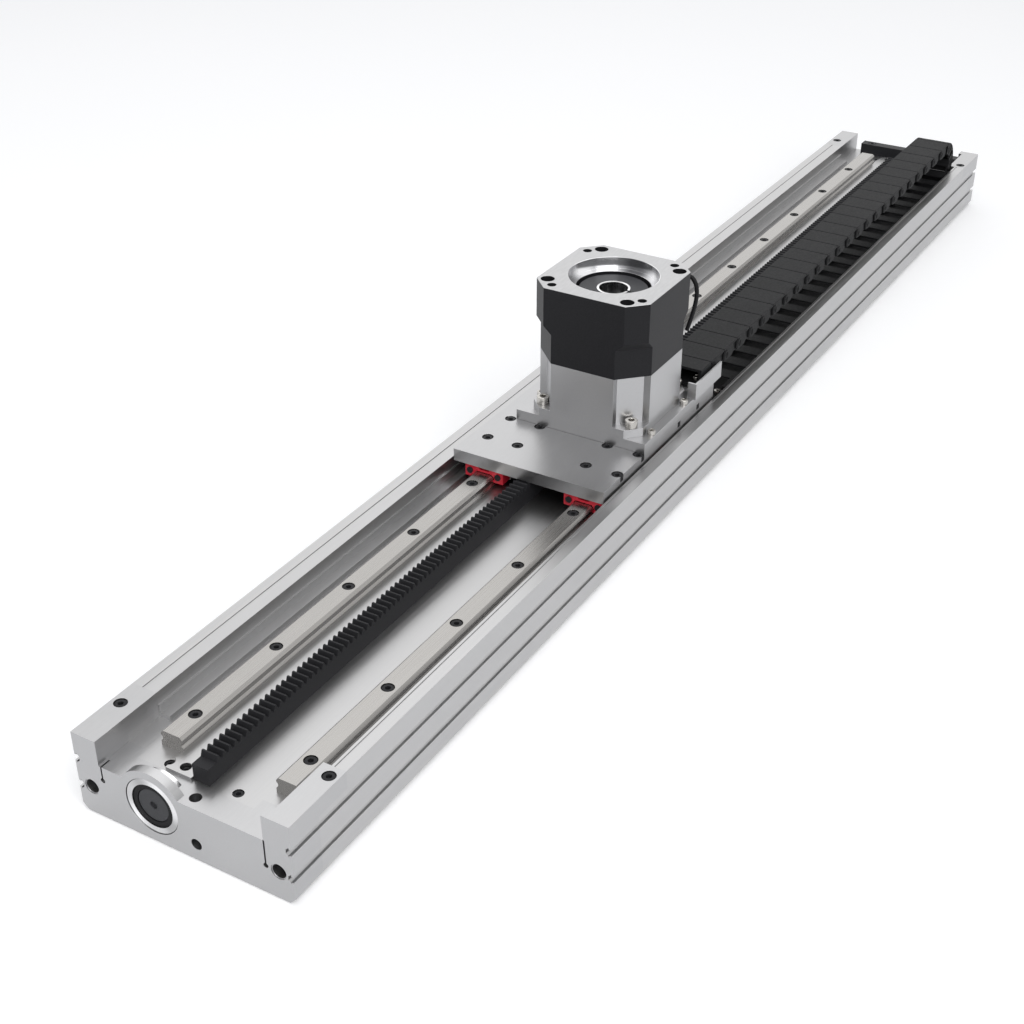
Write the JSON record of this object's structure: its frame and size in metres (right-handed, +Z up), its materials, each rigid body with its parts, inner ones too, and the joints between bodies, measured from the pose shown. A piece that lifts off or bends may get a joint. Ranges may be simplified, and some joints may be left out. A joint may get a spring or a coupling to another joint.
{
  "type": "rack and pinion linear module",
  "caption": "Linear module with a toothed rack between guide rails and a carriage that a right-angle planetary gearbox drives; a cable chain trails behind.",
  "frame": {"origin": "under the middle of the base, on the surface it stands on", "axes": "+Y along the rails from the end with the bearing bore to the far end, +X to the right, +Z up"},
  "size_m": [0.14, 1.106, 0.159],
  "materials": {
    "aluminium_profile": "natural anodised extrusion, satin",
    "aluminium_machined": "fine milled, satin",
    "aluminium_bracket": "bent sheet, satin",
    "rail_steel": "ground steel",
    "gear_steel": "machined and hardened",
    "black_steel": "black oxide, satin",
    "bright_screw": "nickel plated",
    "polished_steel": "polished",
    "gearbox_black": "black anodised, satin, bare machined top face",
    "cap_red": "moulded red plastic",
    "chain_plastic": "moulded dark grey plastic",
    "seal_rubber": "matt",
    "plug_grey": "dark satin",
    "cable_black": "black cable jacket"
  },
  "bodies": {
    "base": {"base_profile": "aluminium_profile", "front_end_block": "aluminium_machined", "rear_end_block": "aluminium_machined", "rear_plate": "black_steel", "rear_plate_screws": "black_steel", "end_block_screws": "black_steel", "bore_ring": "polished_steel", "bore_seal": "seal_rubber", "bore_plug": "plug_grey", "left_rail": "rail_steel", "right_rail": "rail_steel", "left_rail_screws": "black_steel", "right_rail_screws": "black_steel", "rack": "black_steel", "chain_fixed_end": "chain_plastic", "fixed_end_screws": "bright_screw", "chain_lower_run": "chain_plastic"},
    "carriage": {"carriage_plate": "aluminium_machined", "gearbox_plate": "aluminium_machined", "gearbox_plate_screws": "bright_screw", "block_screws": "black_steel", "bearing_block_front_left": "rail_steel", "bearing_block_front_right": "rail_steel", "bearing_block_rear_left": "rail_steel", "bearing_block_rear_right": "rail_steel", "end_caps_front_left": "cap_red", "end_caps_front_right": "cap_red", "end_caps_rear_left": "cap_red", "end_caps_rear_right": "cap_red", "end_cap_screws": "black_steel", "gearbox_housing": "aluminium_machined", "foot_screws": "bright_screw", "housing_screws": "black_steel", "gearbox_body": "gearbox_black", "ring_gear": "gear_steel", "cross_shaft_bearings": "polished_steel", "carrier_bearings": "polished_steel", "hub_bearing": "polished_steel", "chain_tray": "aluminium_bracket", "tray_screws": "bright_screw", "chain_moving_end": "chain_plastic", "chain_upper_run": "chain_plastic", "signal_cable": "cable_black"},
    "cross_shaft_set": {"cross_shaft": "gear_steel", "drive_pinion": "gear_steel", "bevel_gear": "gear_steel"},
    "carrier_set": {"planet_carrier": "gear_steel", "bevel_pinion": "gear_steel", "planet_pins": "polished_steel"},
    "input_set": {"sun_gear": "gear_steel", "input_hub": "plug_grey", "clamp_bushing": "polished_steel", "clamp_screw": "bright_screw"},
    "planet_1": {"planet_gear_1": "gear_steel"},
    "planet_2": {"planet_gear_2": "gear_steel"},
    "planet_3": {"planet_gear_3": "gear_steel"},
    "chain_bend_set": {"chain_bend": "chain_plastic"}
  },
  "joints": [
    {"name": "carriage_slide", "type": "slide", "parent": "base", "child": "carriage", "axis": [0, 1, 0], "range_m": [-0.29, 0.005]},
    {"name": "cross_shaft_spin", "type": "hinge", "parent": "carriage", "child": "cross_shaft_set", "pos_m": [0, -0.115, 0.0685], "axis": [1, 0, 0], "range_deg": [-20, 800]},
    {"name": "carrier_spin", "type": "hinge", "parent": "carriage", "child": "carrier_set", "pos_m": [0.012, -0.115, 0.1], "axis": [0, 0, 1], "range_deg": [-35, 1600]},
    {"name": "input_spin", "type": "hinge", "parent": "carriage", "child": "input_set", "pos_m": [0.012, -0.115, 0.14], "axis": [0, 0, 1], "range_deg": [-120, 6400]},
    {"name": "planet_1_spin", "type": "hinge", "parent": "carrier_set", "child": "planet_1", "pos_m": [0.033, -0.115, 0.116], "axis": [0, 0, 1], "range_deg": [-4800, 90]},
    {"name": "planet_2_spin", "type": "hinge", "parent": "carrier_set", "child": "planet_2", "pos_m": [0.0015, -0.09681, 0.116], "axis": [0, 0, 1], "range_deg": [-4800, 90]},
    {"name": "planet_3_spin", "type": "hinge", "parent": "carrier_set", "child": "planet_3", "pos_m": [0.0015, -0.13319, 0.116], "axis": [0, 0, 1], "range_deg": [-4800, 90]},
    {"name": "chain_roll", "type": "slide", "parent": "base", "child": "chain_bend_set", "axis": [0, 1, 0], "range_m": [-0.15, 0.005], "deforming": ["chain_lower_run", "chain_upper_run"]}
  ],
  "couplings": [
    {"joint": "cross_shaft_spin", "follows": "carriage_slide", "rad_per_m": -47.619},
    {"joint": "carrier_spin", "follows": "carriage_slide", "rad_per_m": -95.238},
    {"joint": "input_spin", "follows": "carriage_slide", "rad_per_m": -380.95},
    {"joint": "planet_1_spin", "follows": "carriage_slide", "rad_per_m": 285.71},
    {"joint": "planet_2_spin", "follows": "carriage_slide", "rad_per_m": 285.71},
    {"joint": "planet_3_spin", "follows": "carriage_slide", "rad_per_m": 285.71},
    {"joint": "chain_roll", "follows": "carriage_slide", "ratio": 0.5}
  ]
}
